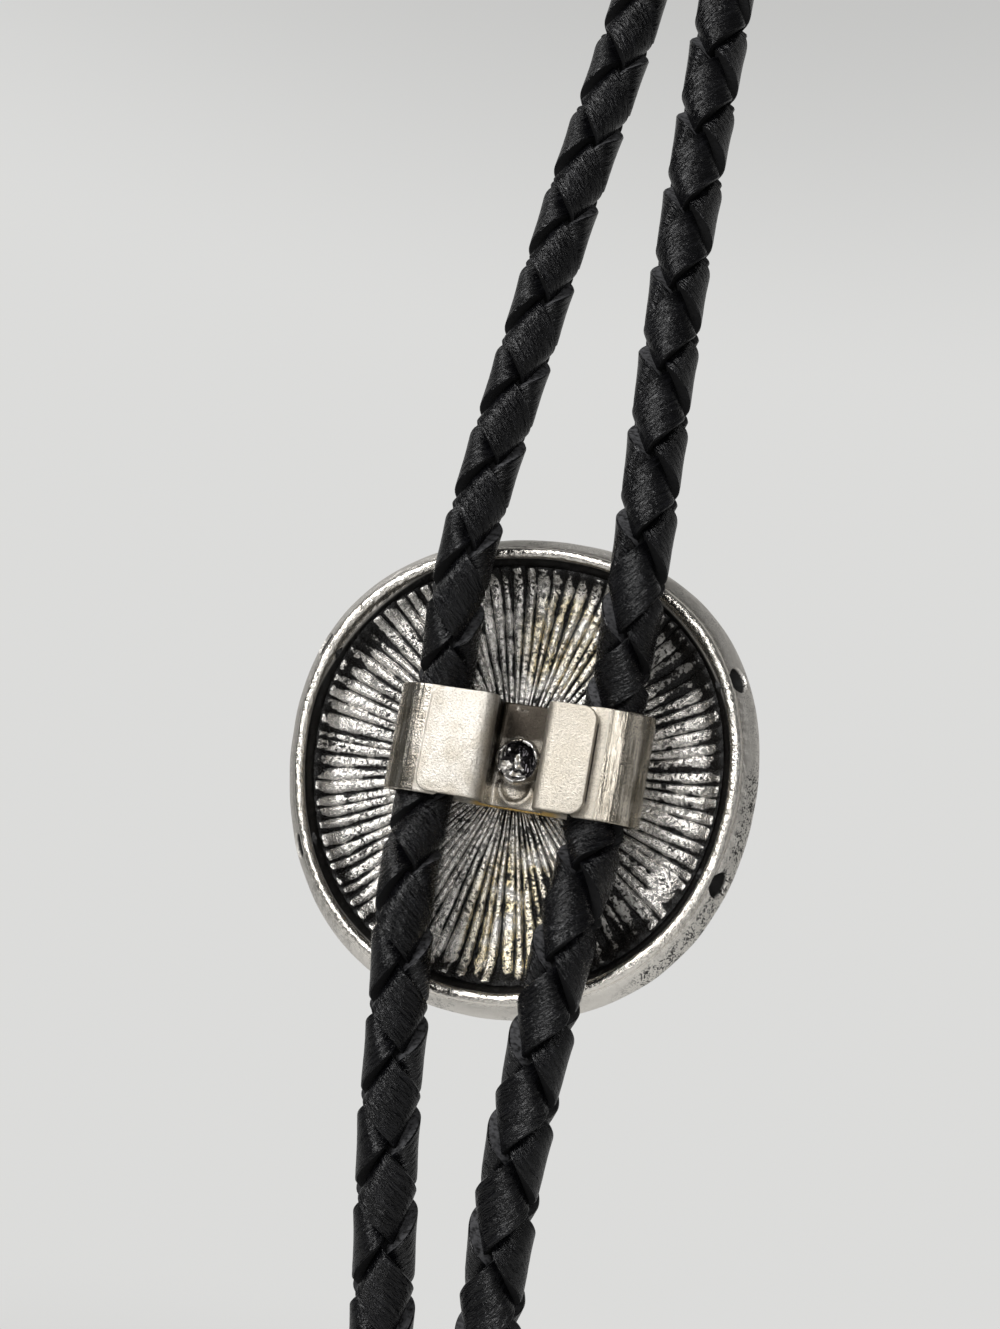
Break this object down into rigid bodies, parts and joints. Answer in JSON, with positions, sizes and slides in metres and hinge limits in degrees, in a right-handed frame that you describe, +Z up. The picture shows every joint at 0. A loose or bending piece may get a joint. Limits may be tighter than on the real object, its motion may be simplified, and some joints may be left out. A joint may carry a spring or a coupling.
{
  "type": "bolo tie",
  "caption": "Bolo tie hanging by its neck loop: braided leather cord, round silver slide with a ribbed open back and a riveted two-strip clip, and metal tips.",
  "frame": {"origin": "the inner side of the neck loop at its highest point, where the tie hangs from a neck, peg or hook", "axes": "+Z up; the slide's front faces -Y and its open ribbed back faces +Y; +X is the wearer's left"},
  "size_m": [0.1212, 0.0132, 0.4536],
  "materials": {
    "antiqued_silver": "cast silver plate, bright on the high points and blackened in the recesses",
    "satin_nickel": "satin nickel plate with a fine speckle",
    "dark_rivet": "dark glossy plating",
    "black_leather": "four-strand round braid of black leather lace with a low sheen",
    "polished_tip": "plain polished plate"
  },
  "bodies": {
    "root": {"concho": "antiqued_silver", "clip_back_strip": "satin_nickel", "clip_flaps": "satin_nickel", "rivet": "dark_rivet", "neck_cord": "black_leather", "left_tail_cord": "black_leather", "right_tail_cord": "black_leather", "left_tip": "polished_tip", "right_tip": "polished_tip"}
  },
  "joints": []
}
